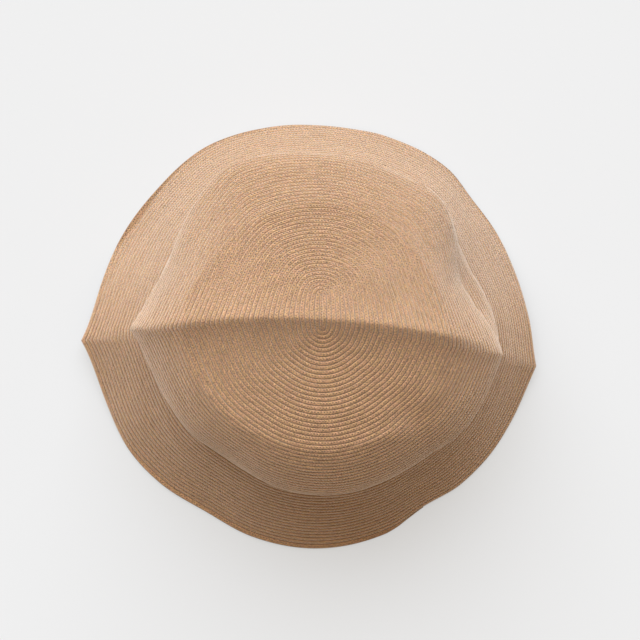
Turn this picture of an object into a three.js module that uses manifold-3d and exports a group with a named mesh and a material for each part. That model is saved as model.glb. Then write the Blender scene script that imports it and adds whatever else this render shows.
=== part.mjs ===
// A soft hat with a short brim, sewn from one knitted braid: tip, side and brim of the crown, and the
// sweatband and labels inside it. Millimetres, +Z up. The hat stands on its brim, the wearer's front is
// -Y, and a packing crease runs over the tip from the left (-X) to the right (+X).

import * as THREE from 'three';
import { ParametricGeometry } from 'three/addons/geometries/ParametricGeometry.js';
import { mergeVertices } from 'three/addons/utils/BufferGeometryUtils.js';
import Module from 'manifold-3d';

// ---------------------------------------------------------------- driving dimensions

const BRAID_THICKNESS = 1.8;
const SWEATBAND_GAP = 1.1; // the ribbon hangs a little clear of the braid
const TRIM_GAP = 0.6; // from the ribbon to what is sewn on it

const TIP_HEIGHT = 112; // the flat of the tip in front of the crease, above the table
const TIP_HEIGHT_BEHIND = 104; // the level that the tip falls to behind the crease
const TIP_FALL = 2; // of the tip from its middle to each end of the crease
const TIP_DOME = 6; // how far the tip has rounded down at its dome radius
const TIP_DOME_RADIUS = 66;
const TIP_HALF_WIDTH = 75;
const JUNCTION_HEIGHT = 44; // where the side meets the brim
const OPENING_RADIUS = 91; // mean radius of the hat at the junction, before the side's own share
const SIDE_BULGE = 1.2; // of the side between shoulder and brim
const SHOULDER_POWER = 1.4; // 1 would be a cone from tip to side, 2 an ellipse

const CREASE_TOP = 122; // the packing crease at its highest
const CREASE_BACK_SPREAD = 36;
const CREASE_FRONT_SPREAD = 12;
const CREASE_ROUNDING = 1.5;

const SWEATBAND_TOP = 73;
const SWEATBAND_BOTTOM = 47;
const SWEATBAND_THICKNESS = 0.8;
const THREAD_THICKNESS = 0.5;
const LABEL_THICKNESS = 0.5;
const SEAM_RISE = 2.5; // the sweatband's seam above its lower edge
const JOIN_WIDTH = 14;
const JOIN_ANGLE = 62;
const MAKER_LABEL_WIDTH = 46;
const MAKER_LABEL_ANGLE = 90;
const CARE_LABEL_WIDTH = 16;
const CARE_LABEL_HEIGHT = 22;
const CARE_LABEL_ANGLE = 156;
const CARE_LABEL_CLEARANCE = 1.4; // it is flat, and the band behind it is curved

const FLAP_CLEARANCE = 1.5; // from a turn-up's fold line to the cloth on each side of it

// The hat's own middle, moved so that the origin is under the middle of its bounding box.
const ORIGIN_X = 6.3;
const ORIGIN_Y = 4.3;

// Outlines as radii at angles, anticlockwise from the right (+X). A smooth closed curve joins them.
const SIDE_OUTLINE = [
  [0, 100.6], [10, 96.4], [21, 90.3], [30, 90.7], [40, 96.5], [49, 99.8], [60, 97.8], [75, 97.4],
  [95, 98.8], [108, 102.3], [119, 105.3], [130, 101.4], [143, 96.7], [158, 93.2], [180, 98],
  [200, 95.8], [217, 94.2], [235, 89.3], [255, 92.4], [275, 94.1], [300, 93.2], [312, 94.2],
  [323, 98.6], [340, 100.6],
];
const BRIM_OUTLINE = [
  [0, 123.6], [14, 120.4], [30, 119], [40, 118.2], [52, 121], [70, 120], [85, 119.4],
  [105, 122.6], [122, 126.3], [140, 126.1], [160, 129], [180, 130.5], [200, 132],
  [212, 132.8], [224, 130.5], [238, 126.6], [252, 128.3], [270, 128.8], [290, 125.6], [300, 122.8],
  [312, 125.4], [340, 126.2],
];
const TIP_OUTLINE = [[0, 69], [45, 67], [90, 68], [135, 69], [180, 75], [225, 69], [270, 66], [315, 70]];
const SHOULDER_HEIGHT = [[0, 74], [90, 77], [180, 74], [270, 74]];
const EDGE_HEIGHT = [
  [0, 8], [25, 1.6], [45, 0.9], [65, 1.4], [90, 1.6], [115, 1.4], [135, 0.9], [155, 1.6], [180, 11],
  [205, 1.6], [225, 0.9], [247, 1.5], [270, 2], [293, 1.5], [315, 0.9], [335, 1.6],
];

// The two ends of the crease stand out as corners of the side and of the brim.
const SIDE_CORNERS = [{ at: 180, reach: 9, spread: 7 }, { at: 352, reach: 5.5, spread: 7 }];
const BRIM_CORNERS = [{ at: 183, reach: 9.2, spread: 7 }, { at: 350, reach: 4.7, spread: 6.5 }];

// A dent in the right of the crown, where the shoulder is pushed in above the side.
const DENT = { at: 11, depth: 9.5, spread: 16 };
const DENT_BULGE = 0.45; // share of the dent's depth that the wall below it stands out again

// Soft hollows (negative) and swellings of the tip.
const TIP_RELIEF = [
  { x: 52, y: -49, height: -3, spread: 11 },
  { x: 28, y: 26, height: 2, spread: 16 },
];

// Soft waves of the brim: where they are round the hat and across the brim (0 at the side, 1 at the edge).
const BRIM_WAVES = [
  { at: 205, out: 0.75, height: 3, turn: 9, width: 0.3 },
  { at: 150, out: 0.85, height: -2, turn: 12, width: 0.3 },
];

// Each turn-up of the brim is what lies beyond a straight fold line, this far from the middle.
const FLAPS = [
  { name: 'brim_front', angle: 270, fold: 101 },
  { name: 'brim_back', angle: 90, fold: 103 },
  { name: 'brim_left', angle: 180, fold: 107 },
  { name: 'brim_right', angle: 0, fold: 105 },
];

const SEGMENTS = 72; // round the hat
const FIRST_ANGLE = 3; // puts a vertex on the sharp corner of the brim
const TIP_RINGS = 9;
const SIDE_RINGS = 11;
const BRIM_RINGS = 5;

// Where the three zones of the braid start and end along the surface, with a small gap between them.
const TIP_END = 0.985;
const SIDE_START = 1.03;
const SIDE_END = 2.99;
const BRIM_START = 3.006;
const BRIM_END = 4;

// ---------------------------------------------------------------- the hat's surface

const degrees = (radians) => (radians * 180) / Math.PI;
const radians = (degreesGiven) => (degreesGiven * Math.PI) / 180;
const mix = (from, to, share) => from + (to - from) * share;

// A smooth closed curve of value by angle, through [angle, value] points in rising order.
function outline(points) {
  const count = points.length;
  const at = (i) => {
    const turn = Math.floor(i / count);
    const [angle, value] = points[i - turn * count];
    return [angle + 360 * turn, value];
  };
  const slope = (i) => {
    const [before, low] = at(i - 1);
    const [after, high] = at(i + 1);
    return (high - low) / (after - before);
  };
  return (angle) => {
    const a = ((angle % 360) + 360) % 360;
    let i = points.findIndex(([next]) => next > a);
    i = (i < 0 ? count : i) - 1;
    const [start, from] = at(i);
    const [end, to] = at(i + 1);
    const span = end - start;
    const t = (a - start) / span;
    const rise = t * t * (3 - 2 * t);
    const leave = t * (1 - t) * (1 - t) * span * slope(i);
    const arrive = t * t * (t - 1) * span * slope(i + 1);
    return mix(from, to, rise) + leave + arrive;
  };
}

const sideOutline = outline(SIDE_OUTLINE);
const brimOutline = outline(BRIM_OUTLINE);
const tipOutline = outline(TIP_OUTLINE);
const shoulderHeight = outline(SHOULDER_HEIGHT);
const edgeHeight = outline(EDGE_HEIGHT);

// The smaller angle between two directions.
const between = (a, b) => Math.abs(((a - b + 540) % 360) - 180);

function corners(list, angle) {
  return list.reduce((sum, c) => sum + c.reach * Math.exp(-between(angle, c.at) / c.spread), 0);
}

const sideRadius = (angle) => sideOutline(angle) + corners(SIDE_CORNERS, angle);
const brimRadius = (angle) => brimOutline(angle) + corners(BRIM_CORNERS, angle);
const junctionRadius = (angle) => (sideRadius(angle) + OPENING_RADIUS) / 2;

function shoulderRadius(angle) {
  const turned = between(angle, DENT.at) / DENT.spread;
  return sideRadius(angle) - DENT.depth * Math.exp(-turned * turned);
}

// Height of the tip over a point: the flat, the packing crease across it and the soft relief.
function tipHeight(x, y) {
  const crease = 5.5 - 0.055 * x - 0.0011 * x * x;
  const away = y - crease;
  const flat = away > 0 ? TIP_HEIGHT_BEHIND : TIP_HEIGHT;
  const spread = away > 0 ? CREASE_BACK_SPREAD : CREASE_FRONT_SPREAD;
  const rounded = Math.hypot(away, CREASE_ROUNDING) - CREASE_ROUNDING;
  let height = mix(flat, CREASE_TOP, Math.exp(-rounded / spread));
  height -= TIP_FALL * (x / TIP_HALF_WIDTH) ** 2;
  const share = Math.hypot(x, y) / TIP_DOME_RADIUS;
  height -= (TIP_DOME * (1 - Math.exp(-(share ** 4)))) / (1 - Math.exp(-1));
  for (const bump of TIP_RELIEF) {
    const far = Math.hypot(x - bump.x, y - bump.y) / bump.spread;
    height += bump.height * Math.exp(-far * far);
  }
  return height;
}

// Radius and height of the outer surface. The place runs 0 to 1 over the tip, 1 to 2 over the shoulder,
// 2 to 3 down the side and 3 to 4 over the brim.
function meridian(angle, place) {
  const turn = radians(angle);
  const tip = tipOutline(angle);
  const over = (r) => tipHeight(r * Math.cos(turn), r * Math.sin(turn));
  if (place <= 1) return [tip * place, over(tip * place)];
  const shoulder = shoulderRadius(angle);
  const low = shoulderHeight(angle);
  if (place <= 2) {
    const sweep = ((place - 1) * Math.PI) / 2;
    const out = Math.sin(sweep) ** (2 / SHOULDER_POWER);
    const up = Math.cos(sweep) ** (2 / SHOULDER_POWER);
    const r = mix(tip, shoulder, out);
    return [r, mix(low, over(r), up)];
  }
  const junction = junctionRadius(angle);
  if (place <= 3) {
    const down = place - 2;
    const stand = (sideRadius(angle) - shoulder) * DENT_BULGE;
    const bulge = (SIDE_BULGE + stand) * Math.sin(Math.PI * down);
    return [mix(shoulder, junction, down) + bulge, mix(low, JUNCTION_HEIGHT, down)];
  }
  const out = place - 3;
  const drop = Math.max(0, 1 - out) ** 1.15;
  let height = mix(edgeHeight(angle), JUNCTION_HEIGHT, drop);
  for (const wave of BRIM_WAVES) {
    const far = Math.hypot(between(angle, wave.at) / wave.turn, (out - wave.out) / wave.width);
    height += wave.height * Math.exp(-far * far) * Math.min(1, out * 4);
  }
  return [mix(junction, brimRadius(angle), out), height];
}

function surfacePoint(angle, place) {
  const [r, z] = meridian(angle, place);
  const turn = radians(angle);
  return new THREE.Vector3(r * Math.cos(turn), r * Math.sin(turn), z);
}

// A point of the outer surface, moved inwards by depth along the surface's normal.
function shellPoint(angle, place, depth) {
  const here = surfacePoint(angle, place);
  if (place < 0.02) return here.setZ(here.z - depth);
  const step = 0.01;
  const along = surfacePoint(angle, place + step).sub(surfacePoint(angle, place - step));
  const round = surfacePoint(angle + 1, place).sub(surfacePoint(angle - 1, place));
  const inward = round.cross(along).normalize();
  return here.addScaledVector(inward, depth);
}

// The place on the shoulder or side that is at this height.
function placeAtHeight(angle, height) {
  let above = 1;
  let below = 3;
  for (let i = 0; i < 30; i += 1) {
    const middle = (above + below) / 2;
    if (meridian(angle, middle)[1] > height) above = middle;
    else below = middle;
  }
  return above;
}

// ---------------------------------------------------------------- closed solids

function joined(geometry) {
  const bare = geometry.index ? geometry.toNonIndexed() : geometry;
  bare.deleteAttribute('normal');
  bare.deleteAttribute('uv');
  const merged = mergeVertices(bare, 1e-3);
  const corner = Array.from(merged.index.array);
  const kept = [];
  for (let i = 0; i < corner.length; i += 3) {
    const [a, b, c] = corner.slice(i, i + 3);
    if (a !== b && b !== c && c !== a) kept.push(a, b, c);
  }
  merged.setIndex(kept);
  merged.computeVertexNormals();
  return merged;
}

// A solid of revolution with a free form: its closed cross-section is the list of section(angle) points.
function turned(section, steps, segments = SEGMENTS) {
  const point = (u, v, target) => {
    const around = Math.round((1 - u) * segments) % segments;
    const angle = FIRST_ANGLE + (360 * around) / segments;
    target.copy(section(angle, Math.round(v * steps) % (steps + 1)));
  };
  return joined(new ParametricGeometry(point, segments, steps));
}

// A shell of the hat's surface from one place to another. A shell that starts at the middle is a disc.
function shell(from, to, rings, thickness) {
  const disc = from === 0;
  const steps = disc ? 2 * rings + 1 : 2 * rings + 2;
  return turned((angle, index) => {
    const step = index % (2 * rings + 2);
    const inside = step > rings;
    const ring = inside ? 2 * rings + 1 - step : step;
    const place = mix(from, to, ring / rings);
    return shellPoint(angle, place, inside ? thickness : 0);
  }, steps);
}

// A band inside the crown, between two heights.
function band(top, bottom, rows, depth, thickness) {
  return turned((angle, index) => {
    const step = index % (2 * rows + 2);
    const inside = step > rows;
    const row = inside ? 2 * rows + 1 - step : step;
    const height = mix(top, bottom, row / rows);
    return shellPoint(angle, placeAtHeight(angle, height), depth + (inside ? thickness : 0));
  }, 2 * rows + 2);
}

// A small plate bent to follow the crown's inside: width round the hat, between two heights.
function patch(angle, width, top, bottom, depth, thickness) {
  const plate = new THREE.BoxGeometry(1, 1, 1, 6, 3, 1);
  const points = plate.getAttribute('position');
  const span = degrees(width / OPENING_RADIUS);
  for (let i = 0; i < points.count; i += 1) {
    const place = angle - span * points.getX(i);
    const height = mix(bottom, top, points.getY(i) + 0.5);
    const deep = depth + thickness * (0.5 + points.getZ(i));
    const bent = shellPoint(place, placeAtHeight(place, height), deep);
    points.setXYZ(i, bent.x, bent.y, bent.z);
  }
  return joined(plate);
}

const wasm = await Module();
wasm.setup();

function solid(geometry) {
  const vertProperties = new Float32Array(geometry.getAttribute('position').array);
  const triVerts = new Uint32Array(geometry.index.array);
  return new wasm.Manifold(new wasm.Mesh({ numProp: 3, vertProperties, triVerts }));
}

function drawn(manifold) {
  const { vertProperties, triVerts } = manifold.getMesh();
  const geometry = new THREE.BufferGeometry();
  geometry.setAttribute('position', new THREE.BufferAttribute(vertProperties, 3));
  geometry.setIndex(new THREE.BufferAttribute(triVerts, 1));
  geometry.computeVertexNormals();
  return geometry;
}

// A block that holds everything beyond a fold line, from start outwards.
function beyond(angle, start) {
  const reach = 60;
  const block = new THREE.BoxGeometry(reach, 400, 200);
  block.translate(start + reach / 2, 0, 0);
  block.rotateZ(radians(angle));
  return solid(joined(block));
}

// ---------------------------------------------------------------- pieces

const braid = new THREE.MeshStandardMaterial({ color: 0xb8946c, roughness: 0.95, metalness: 0 });
const ribbon = new THREE.MeshStandardMaterial({ color: 0xb99b78, roughness: 0.8, metalness: 0 });
const thread = new THREE.MeshStandardMaterial({ color: 0xa88a66, roughness: 0.7, metalness: 0 });
const label = new THREE.MeshStandardMaterial({ color: 0xece6da, roughness: 0.7, metalness: 0 });

const hat = new THREE.Group();

function add(name, geometry, material) {
  const mesh = new THREE.Mesh(geometry, material);
  mesh.name = name;
  hat.add(mesh);
}

function addCrown() {
  add('crown_tip', shell(0, TIP_END, TIP_RINGS, BRAID_THICKNESS), braid);
  add('crown_side', shell(SIDE_START, SIDE_END, SIDE_RINGS, BRAID_THICKNESS), braid);
}

// The brim is one ring, trimmed flat where it stands on the table, then cut along the fold lines.
function addBrim() {
  const ground = new THREE.BoxGeometry(400, 400, 200);
  ground.translate(0, 0, 100);
  const ring = shell(BRIM_START, BRIM_END, BRIM_RINGS, BRAID_THICKNESS);
  let root = solid(ring).intersect(solid(joined(ground)));
  for (const flap of FLAPS) {
    const moving = root.intersect(beyond(flap.angle, flap.fold + FLAP_CLEARANCE));
    add(flap.name, drawn(moving), braid);
    root = root.subtract(beyond(flap.angle, flap.fold - FLAP_CLEARANCE));
  }
  add('brim_root', drawn(root), braid);
}

function addSweatband() {
  const face = BRAID_THICKNESS + SWEATBAND_GAP;
  const inner = face + SWEATBAND_THICKNESS + TRIM_GAP;
  add('sweatband', band(SWEATBAND_TOP, SWEATBAND_BOTTOM, 3, face, SWEATBAND_THICKNESS), ribbon);
  const seam = SWEATBAND_BOTTOM + SEAM_RISE;
  add('sweatband_thread', band(seam, seam - THREAD_THICKNESS, 1, inner, THREAD_THICKNESS), thread);
  const top = SWEATBAND_TOP - 0.5;
  const bottom = seam + 1;
  const join = patch(JOIN_ANGLE, JOIN_WIDTH, top, bottom, inner, SWEATBAND_THICKNESS);
  add('sweatband_join', join, ribbon);
  const maker = patch(MAKER_LABEL_ANGLE, MAKER_LABEL_WIDTH, top - 3, bottom + 2, inner, LABEL_THICKNESS);
  add('maker_label', maker, label);
}

// The care label stands on the seam, flat against the sweatband, and turns inwards about its lower edge.
function addCareLabel() {
  const bottom = SWEATBAND_BOTTOM + SEAM_RISE + 1;
  const depth = BRAID_THICKNESS + SWEATBAND_GAP + SWEATBAND_THICKNESS + TRIM_GAP;
  const turn = radians(CARE_LABEL_ANGLE);
  const wall = (height) => {
    const point = shellPoint(CARE_LABEL_ANGLE, placeAtHeight(CARE_LABEL_ANGLE, height), depth);
    return Math.hypot(point.x, point.y);
  };
  const r = Math.min(wall(bottom), wall(bottom + CARE_LABEL_HEIGHT)) - CARE_LABEL_CLEARANCE;
  const plate = new THREE.BoxGeometry(LABEL_THICKNESS, CARE_LABEL_WIDTH, CARE_LABEL_HEIGHT);
  const mesh = new THREE.Mesh(joined(plate), label);
  mesh.name = 'care_label';
  mesh.position.set(r * Math.cos(turn), r * Math.sin(turn), bottom + CARE_LABEL_HEIGHT / 2);
  mesh.rotation.z = turn;
  hat.add(mesh);
}

addCrown();
addBrim();
addSweatband();
addCareLabel();
hat.position.set(ORIGIN_X, ORIGIN_Y, 0);

export default hat;
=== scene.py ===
"""A packable hat sewn in a spiral from one narrow knitted braid, with a short brim that turns up.

Metres, +Z up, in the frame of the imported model. The hat's own shape is worked out in millimetres from
its middle and moved into that frame at the end.
"""

import logging
import math
from collections.abc import Sequence
from dataclasses import dataclass, field
from enum import Enum

import bmesh
import bpy
import numpy as np
from mathutils import Matrix, Vector


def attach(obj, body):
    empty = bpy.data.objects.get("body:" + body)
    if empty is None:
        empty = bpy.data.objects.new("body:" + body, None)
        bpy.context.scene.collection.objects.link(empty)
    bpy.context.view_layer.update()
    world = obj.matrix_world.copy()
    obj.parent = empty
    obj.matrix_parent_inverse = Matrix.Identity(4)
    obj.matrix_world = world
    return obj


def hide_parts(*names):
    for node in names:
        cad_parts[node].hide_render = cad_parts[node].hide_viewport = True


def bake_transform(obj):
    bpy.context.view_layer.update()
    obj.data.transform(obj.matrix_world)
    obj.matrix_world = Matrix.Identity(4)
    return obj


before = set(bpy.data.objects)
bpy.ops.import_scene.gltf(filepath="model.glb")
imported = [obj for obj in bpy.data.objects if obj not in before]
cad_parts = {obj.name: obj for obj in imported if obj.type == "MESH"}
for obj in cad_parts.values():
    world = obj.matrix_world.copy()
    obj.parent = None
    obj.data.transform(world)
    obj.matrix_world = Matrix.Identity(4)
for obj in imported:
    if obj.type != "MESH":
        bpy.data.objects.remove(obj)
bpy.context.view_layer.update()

MM = 0.001
FULL_TURN = 360
TURN = 2 * math.pi
WELD = 1e-6
UV_NAME = "UVMap"

Colour = tuple[float, float, float, float]

log = logging.getLogger("hat")


class Body(Enum):
    """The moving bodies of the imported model."""

    HAT = "hat"
    FRONT = "front_turn_up"
    BACK = "back_turn_up"
    LEFT = "left_turn_up"
    RIGHT = "right_turn_up"
    CARE_LABEL = "care_label_tab"


class Slot(Enum):
    """The material slots of the record."""

    BRAID = "braid"
    SWEATBAND = "sweatband"
    THREAD = "thread"
    LABEL = "label"


class Layer(Enum):
    """The two faces of the braid's cloth."""

    OUTSIDE = 0
    INSIDE = 1


# ------------------------------------------------------------------------------------ shader kit


@dataclass(frozen=True)
class Value:
    """A number socket that does maths when operators are used on it."""

    kit: "ShaderKit"
    socket: bpy.types.NodeSocket

    def maths(self, operation: str, *others: "Value | float") -> "Value":
        """Adds a Math node.

        Args:
            operation: The Math node's operation.
            others: Its further inputs.

        Returns:
            The node's result.
        """
        inputs = {i: v for i, v in enumerate((self, *others))}
        return self.kit.value("ShaderNodeMath", {"operation": operation}, inputs)

    def __add__(self, other: "Value | float") -> "Value":
        """Sum."""
        return self.maths("ADD", other)

    def __radd__(self, other: float) -> "Value":
        """Sum, with a plain number first."""
        return self.maths("ADD", other)

    def __sub__(self, other: "Value | float") -> "Value":
        """Difference."""
        return self.maths("SUBTRACT", other)

    def __rsub__(self, other: float) -> "Value":
        """Difference from a plain number."""
        return (self * -1.0) + other

    def __mul__(self, other: "Value | float") -> "Value":
        """Product."""
        return self.maths("MULTIPLY", other)

    def __rmul__(self, other: float) -> "Value":
        """Product, with a plain number first."""
        return self.maths("MULTIPLY", other)

    def __pow__(self, power: float) -> "Value":
        """Power."""
        return self.maths("POWER", power)

    def __abs__(self) -> "Value":
        """Size without sign."""
        return self.maths("ABSOLUTE")

    def fraction(self) -> "Value":
        """Part after the decimal point."""
        return self.maths("FRACT")

    def sine(self) -> "Value":
        """Sine."""
        return self.maths("SINE")

    def swing(self, width: float) -> "Value":
        """A number around 0.5 made one around 0, over a width."""
        return (self - 0.5) * width

    def off_middle(self) -> "Value":
        """How far from 0.5, as a share of 0.5."""
        return abs(self - 0.5) * 2.0

    def ripple(self) -> "Value":
        """A soft wave between 0 and 1, from an angle in radians."""
        return (self.sine() + 1.0) * 0.5

    def rising(self, low: float, high: float) -> "Value":
        """A soft step.

        Args:
            low: Where it leaves 0.
            high: Where it reaches 1.

        Returns:
            The step's height.
        """
        settings = {"interpolation_type": "SMOOTHSTEP"}
        inputs = {"Value": self, "From Min": low, "From Max": high}
        return self.kit.value("ShaderNodeMapRange", settings, inputs)


class ShaderKit:
    """Builds one material's nodes."""

    def __init__(self, name: str) -> None:
        """Makes an empty material.

        Args:
            name: The material's name.
        """
        self.material = bpy.data.materials.new(name)
        self.material.use_nodes = True
        self.tree = self.material.node_tree
        self.tree.nodes.clear()

    def node(
        self, kind: str, settings: dict | None = None, inputs: dict | None = None
    ) -> bpy.types.Node:
        """Adds a node.

        Args:
            kind: The node's type.
            settings: Properties, set first.
            inputs: Values or links by socket name or number.

        Returns:
            The node.
        """
        made = self.tree.nodes.new(kind)
        for key, value in (settings or {}).items():
            setattr(made, key, value)
        for key, value in (inputs or {}).items():
            source = value.socket if isinstance(value, Value) else value
            if isinstance(source, bpy.types.NodeSocket):
                self.tree.links.new(source, made.inputs[key])
            else:
                made.inputs[key].default_value = source
        return made

    def value(self, kind: str, settings: dict | None = None, inputs: dict | None = None) -> Value:
        """Adds a node and wraps its first output.

        Args:
            kind: The node's type.
            settings: Properties, set first.
            inputs: Values or links by socket name or number.

        Returns:
            The wrapped output.
        """
        return Value(self, self.node(kind, settings, inputs).outputs[0])

    def split(self, vector: bpy.types.NodeSocket) -> tuple[Value, ...]:
        """The three numbers of a vector."""
        parts = self.node("ShaderNodeSeparateXYZ", None, {0: vector})
        return tuple(Value(self, part) for part in parts.outputs)

    def place(self) -> bpy.types.NodeSocket:
        """The object's own coordinates, in metres."""
        return self.node("ShaderNodeTexCoord").outputs["Object"]

    def uv(self) -> tuple[Value, Value]:
        """The two numbers of the piece's own UV map."""
        u, v, _ = self.split(self.node("ShaderNodeUVMap", {"uv_map": UV_NAME}).outputs[0])
        return u, v

    def chance(self, cell: bpy.types.NodeSocket) -> Value:
        """A number from 0 to 1 for each whole-numbered cell."""
        return self.value("ShaderNodeTexWhiteNoise", {"noise_dimensions": "2D"}, {"Vector": cell})

    def noise(
        self, scale: float, detail: float, where: bpy.types.NodeSocket | None = None
    ) -> Value:
        """Soft noise.

        Args:
            scale: Waves per metre, or per unit of where.
            detail: Octaves.
            where: Coordinates in place of the object's own.

        Returns:
            The noise, around 0.5.
        """
        inputs = {"Vector": where or self.place(), "Scale": scale, "Detail": detail}
        return self.value("ShaderNodeTexNoise", None, inputs)

    def point(self, x: Value, y: Value | float) -> bpy.types.NodeSocket:
        """Two numbers as one vector."""
        return self.node("ShaderNodeCombineXYZ", None, {0: x, 1: y}).outputs[0]

    def blended(self, share: Value | float, low: object, high: object) -> bpy.types.NodeSocket:
        """Mixes two colours.

        Args:
            share: How much of high.
            low: A colour or a colour socket.
            high: A colour or a colour socket.

        Returns:
            The mixed colour.
        """
        inputs = {"Factor": share, 6: low, 7: high}
        return self.node("ShaderNodeMix", {"data_type": "RGBA"}, inputs).outputs[2]

    def finished(
        self, colour: object, roughness: object, height: Value, relief: float, constants: dict
    ) -> bpy.types.Material:
        """Joins everything on one Principled shader.

        Args:
            colour: Base colour or its socket.
            roughness: Roughness or its value.
            height: The surface's fine height, 0 to 1.
            relief: What a height of 1 is, in metres.
            constants: Fixed numbers of the shader.

        Returns:
            The material.
        """
        fine = {"Height": height, "Distance": relief, "Strength": 1.0}
        normal = self.node("ShaderNodeBump", None, fine).outputs[0]
        inputs = {"Base Color": colour, "Roughness": roughness, "Normal": normal, **constants}
        shader = self.node("ShaderNodeBsdfPrincipled", None, inputs)
        self.node("ShaderNodeOutputMaterial", None, {"Surface": shader.outputs[0]})
        return self.material


# ------------------------------------------------------------------------------------ finishes


@dataclass(frozen=True)
class BraidFinish:
    """Knitted camel yarn: two slanting legs to a stitch, pinholes between them, joins of rows; holes and
    joins get painted shade.

    Lengths along the braid are in stitches, and across it in shares of its width. The spreads say how
    much each noise changes the brightness, the legs are lightened by a painted highlight, and the reliefs
    how high each thing stands.
    """

    yarn: Colour = (0.57, 0.315, 0.15, 1)
    pink: Colour = (0.585, 0.30, 0.165, 1)
    gold: Colour = (0.55, 0.325, 0.13, 1)
    # deep: the colour of the painted shade laid into the grooves between rows and into the pinholes.
    deep: Colour = (0.09, 0.04, 0.015, 1)
    tint_scale: float = 420.0
    tint_edge: tuple[float, float] = (0.35, 0.65)
    tint_share: float = 0.5
    sheen: float = 1.0
    sheen_roughness: float = 0.5
    sheen_tint: Colour = (1.0, 0.92, 0.82, 1)
    specular: float = 0.5
    roughness: float = 0.82

    legs_per_stitch: float = 2.0
    leg_slant: float = 0.8
    leg_sharpness: float = 0.7
    hole_drift: tuple[float, float] = (0.2, 0.24)
    hole_narrowness: tuple[float, float] = (11.0, 26.0)
    hole_edge: tuple[float, float] = (0.3, 1.0)
    hole_luck: tuple[float, float] = (0.0, 0.3)
    hole_in_front: float = 0.55
    hole_behind: float = 0.45
    behind_edge: tuple[float, float] = (0.005, 0.035)
    groove_edge: tuple[float, float] = (0.76, 0.97)
    # How strongly painted shade darkens the grooves between rows.
    groove_painted_shade: float = 0.9
    closed_behind: float = 0.5

    brightness: float = 0.62
    behind_dark: float = 0.05
    # How much a painted highlight lightens the legs of the stitches.
    leg_painted_highlight: float = 0.26
    half_spread: float = 0.16
    fuzz_scale: float = 1500.0
    fuzz_spread: float = 1.3
    fleck_scale: tuple[float, float] = (2.5, 3.6)
    fleck_spread: float = 1.5
    patch_scale: float = 16.0
    patch_spread: float = 0.12

    relief: float = 0.5 * MM
    leg_relief: float = 0.3
    fleck_relief: float = 0.5
    fuzz_relief: float = 0.4
    hole_relief: float = 0.7
    groove_relief: float = 0.3

    def holes(self, kit: ShaderKit, legs: Value, across: Value) -> Value:
        """The pinholes, one between each pair of legs, some of them nearly shut.

        Args:
            kit: The material's kit.
            legs: Legs counted along the braid.
            across: Share across the row.

        Returns:
            1 in a hole, 0 outside it.
        """
        luck = kit.chance(kit.point((legs + 0.5).maths("FLOOR"), 0.0))
        aside = (luck * 7.0).fraction()
        near_u = abs((legs + 0.5 + luck.swing(self.hole_drift[0])).fraction() - 0.5)
        near_v = abs(across - 0.5 - aside.swing(self.hole_drift[1]))
        narrow_u, narrow_v = self.hole_narrowness
        far = (near_u * near_u) * narrow_u + (near_v * near_v) * narrow_v
        return (1.0 - far.rising(*self.hole_edge)) * luck.rising(*self.hole_luck)

    def material(self) -> bpy.types.Material:
        """Builds the nodes.

        Returns:
            The material.
        """
        kit = ShaderKit("knitted_braid")
        along, across = kit.uv()
        off = across.off_middle()
        legs = along * self.legs_per_stitch
        slanted = legs + off * self.leg_slant
        leg = (slanted.fraction() * math.pi).sine() ** self.leg_sharpness
        half = kit.chance(kit.point(slanted.maths("FLOOR"), (across * 2.0).maths("FLOOR")))
        behind = kit.split(kit.place())[1].rising(*self.behind_edge)
        hole = self.holes(kit, legs, across) * (self.hole_in_front + behind * self.hole_behind)
        groove = off.rising(*self.groove_edge) * (1.0 - behind * self.closed_behind)
        fuzz = kit.noise(self.fuzz_scale, 3.0)
        fleck_u, fleck_v = self.fleck_scale
        fleck = kit.noise(1.0, 2.0, kit.point(slanted * fleck_u, across * fleck_v))
        patch = kit.noise(self.patch_scale, 2.0)
        tint = kit.noise(self.tint_scale, 1.0).rising(*self.tint_edge)
        colour = kit.blended(tint, self.pink, self.gold)
        colour = kit.blended(self.tint_share, colour, self.yarn)
        # Painted highlight: the legs of the stitches are made lighter than the rest of the yarn.
        bright = self.brightness - behind * self.behind_dark + leg * self.leg_painted_highlight
        bright = bright + half.swing(self.half_spread) + fuzz.swing(self.fuzz_spread)
        bright = bright + fleck.swing(self.fleck_spread) + patch.swing(self.patch_spread)
        scaled = kit.node("ShaderNodeVectorMath", {"operation": "SCALE"}, {0: colour, "Scale": bright})
        # Painted shade: the grooves between rows and the pinholes are darkened towards the deep colour.
        painted_shade = (groove * self.groove_painted_shade).maths("MAXIMUM", hole)
        colour = kit.blended(painted_shade, scaled.outputs[0], self.deep)
        height = leg * self.leg_relief + fleck * self.fleck_relief + fuzz * self.fuzz_relief
        height = height - hole * self.hole_relief - groove * self.groove_relief
        constants = {
            "Sheen Weight": self.sheen,
            "Sheen Roughness": self.sheen_roughness,
            "Sheen Tint": self.sheen_tint,
            "Specular IOR Level": self.specular,
        }
        return kit.finished(colour, self.roughness, height, self.relief, constants)


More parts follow.
